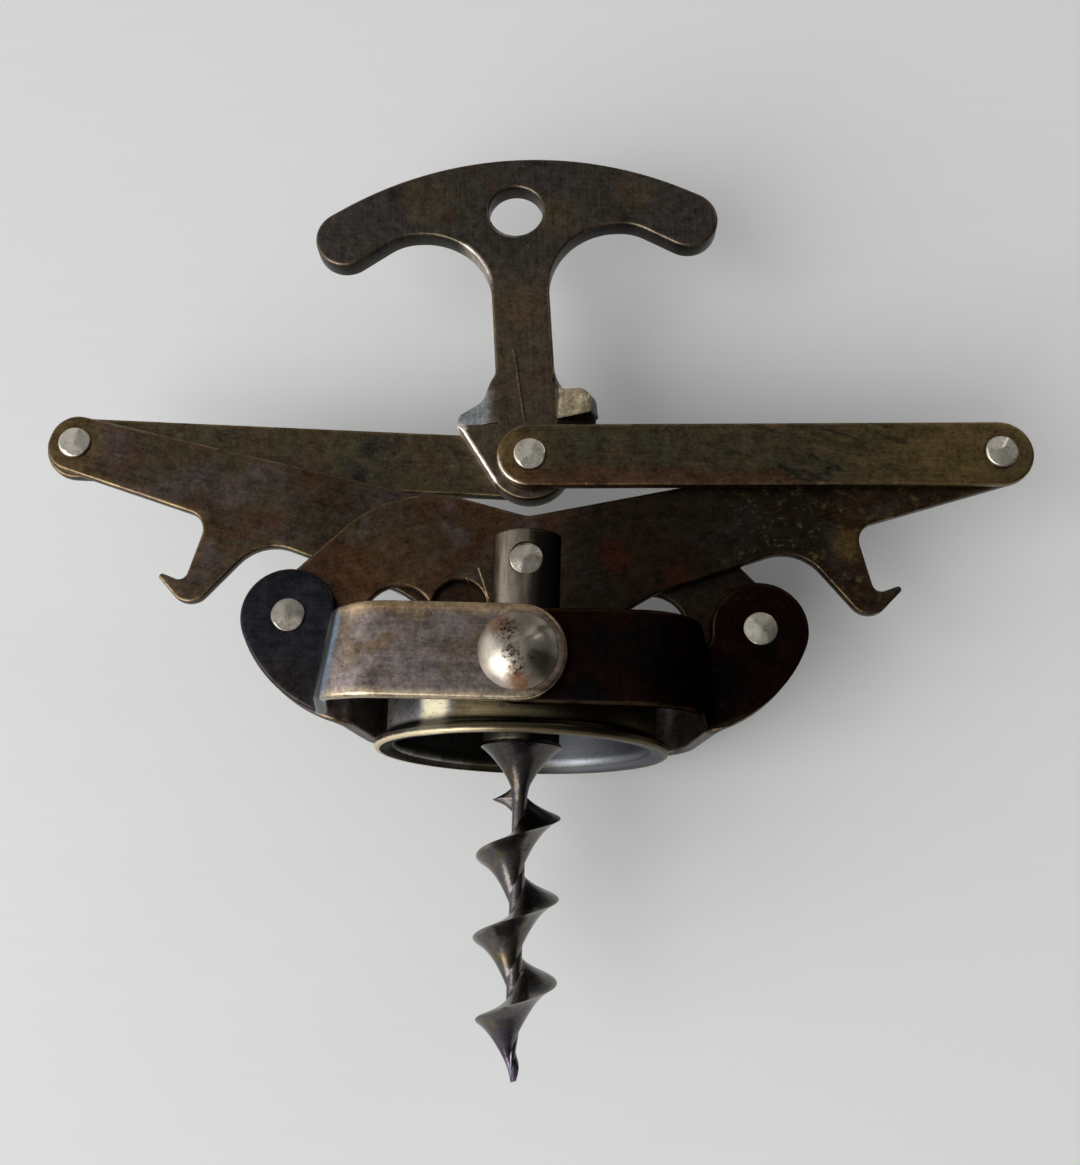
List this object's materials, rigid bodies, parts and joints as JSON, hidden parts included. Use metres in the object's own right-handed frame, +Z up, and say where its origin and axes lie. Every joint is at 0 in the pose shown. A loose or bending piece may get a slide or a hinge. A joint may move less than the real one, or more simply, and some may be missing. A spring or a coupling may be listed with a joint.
{
  "type": "wing corkscrew",
  "caption": "Flat folding lever corkscrew: a bottle collar, bent side straps, crossed levers and links, a T handle and a worm on a slotted shaft, with cap lifter hooks.",
  "frame": {"origin": "centre of the seat inside the collar that rests on the bottle's mouth, on the worm's axis", "axes": "+X to the right along the levers, +Y from the worm towards the handle, +Z up from the ground the tool lies on"},
  "size_m": [0.1274, 0.1187, 0.045],
  "materials": {
    "patina_brass": "dark antique patina, worn bright at the edges",
    "collar_brass": "half polished brass with brown tarnish",
    "shaft_brass": "turned, grey brown satin",
    "rivet_steel": "hammered rivet heads, speckled",
    "dome_nickel": "bright nickel with rust specks",
    "worm_steel": "glossy dark burnished steel"
  },
  "bodies": {
    "collar": {"collar": "collar_brass", "front_dome_rivet": "dome_nickel", "back_dome_rivet": "dome_nickel"},
    "left_yoke": {"front_left_strap": "patina_brass", "back_left_strap": "patina_brass", "left_ear_rivet": "rivet_steel"},
    "right_yoke": {"front_right_strap": "patina_brass", "back_right_strap": "patina_brass", "right_ear_rivet": "rivet_steel"},
    "right_lever": {"right_lever": "patina_brass", "right_outer_rivet": "rivet_steel"},
    "left_lever": {"left_lever": "patina_brass", "left_outer_rivet": "rivet_steel"},
    "shaft": {"slotted_shaft": "shaft_brass", "crossing_rivet": "rivet_steel", "worm": "worm_steel"},
    "right_link": {"right_link": "patina_brass"},
    "left_link": {"left_link": "patina_brass", "handle_rivet_back": "rivet_steel"},
    "handle_pin": {"handle_rivet_front": "rivet_steel"},
    "handle": {"handle": "patina_brass"}
  },
  "joints": [
    {"name": "opening", "type": "hinge", "parent": "collar", "child": "left_yoke", "pos_m": [0, -0.0036, 0], "axis": [0, 0, -1], "range_deg": [0, 45.27]},
    {"name": "right_yoke_turn", "type": "hinge", "parent": "collar", "child": "right_yoke", "pos_m": [0, -0.0036, 0], "axis": [0, 0, 1], "range_deg": [0, 45.27]},
    {"name": "right_lever_turn", "type": "hinge", "parent": "left_yoke", "child": "right_lever", "pos_m": [-0.02901, 0.00403, 0], "axis": [0, 0, 1], "range_deg": [0, 90.55]},
    {"name": "left_lever_turn", "type": "hinge", "parent": "right_yoke", "child": "left_lever", "pos_m": [0.02901, 0.00403, 0], "axis": [0, 0, -1], "range_deg": [0, 90.55]},
    {"name": "shaft_lift", "type": "hinge", "parent": "right_lever", "child": "shaft", "pos_m": [0, 0.01165, 0], "axis": [0, 0, -1], "range_deg": [0, 45.27]},
    {"name": "right_link_fold", "type": "hinge", "parent": "right_lever", "child": "right_link", "pos_m": [0.05948, 0.02729, 0], "axis": [0, 0, -1], "range_deg": [0, 105.66]},
    {"name": "left_link_fold", "type": "hinge", "parent": "left_lever", "child": "left_link", "pos_m": [-0.05948, 0.02729, 0], "axis": [0, 0, 1], "range_deg": [0, 105.66]},
    {"name": "handle_pin_turn", "type": "hinge", "parent": "right_link", "child": "handle_pin", "pos_m": [0, 0.02573, 0], "axis": [0, 0, 1], "range_deg": [0, 60.38]},
    {"name": "handle_tilt", "type": "hinge", "parent": "handle_pin", "child": "handle", "pos_m": [0, 0.02573, 0], "axis": [0, 0, 1], "range_deg": [-9.4, 0]}
  ],
  "couplings": [
    {"joint": "right_yoke_turn", "follows": "opening", "ratio": 1},
    {"joint": "right_lever_turn", "follows": "opening", "ratio": 2},
    {"joint": "left_lever_turn", "follows": "opening", "ratio": 2},
    {"joint": "shaft_lift", "follows": "opening", "ratio": 1},
    {"joint": "right_link_fold", "follows": "opening", "ratio": 2.3337},
    {"joint": "left_link_fold", "follows": "opening", "ratio": 2.3337},
    {"joint": "handle_pin_turn", "follows": "opening", "ratio": 1.3337}
  ]
}
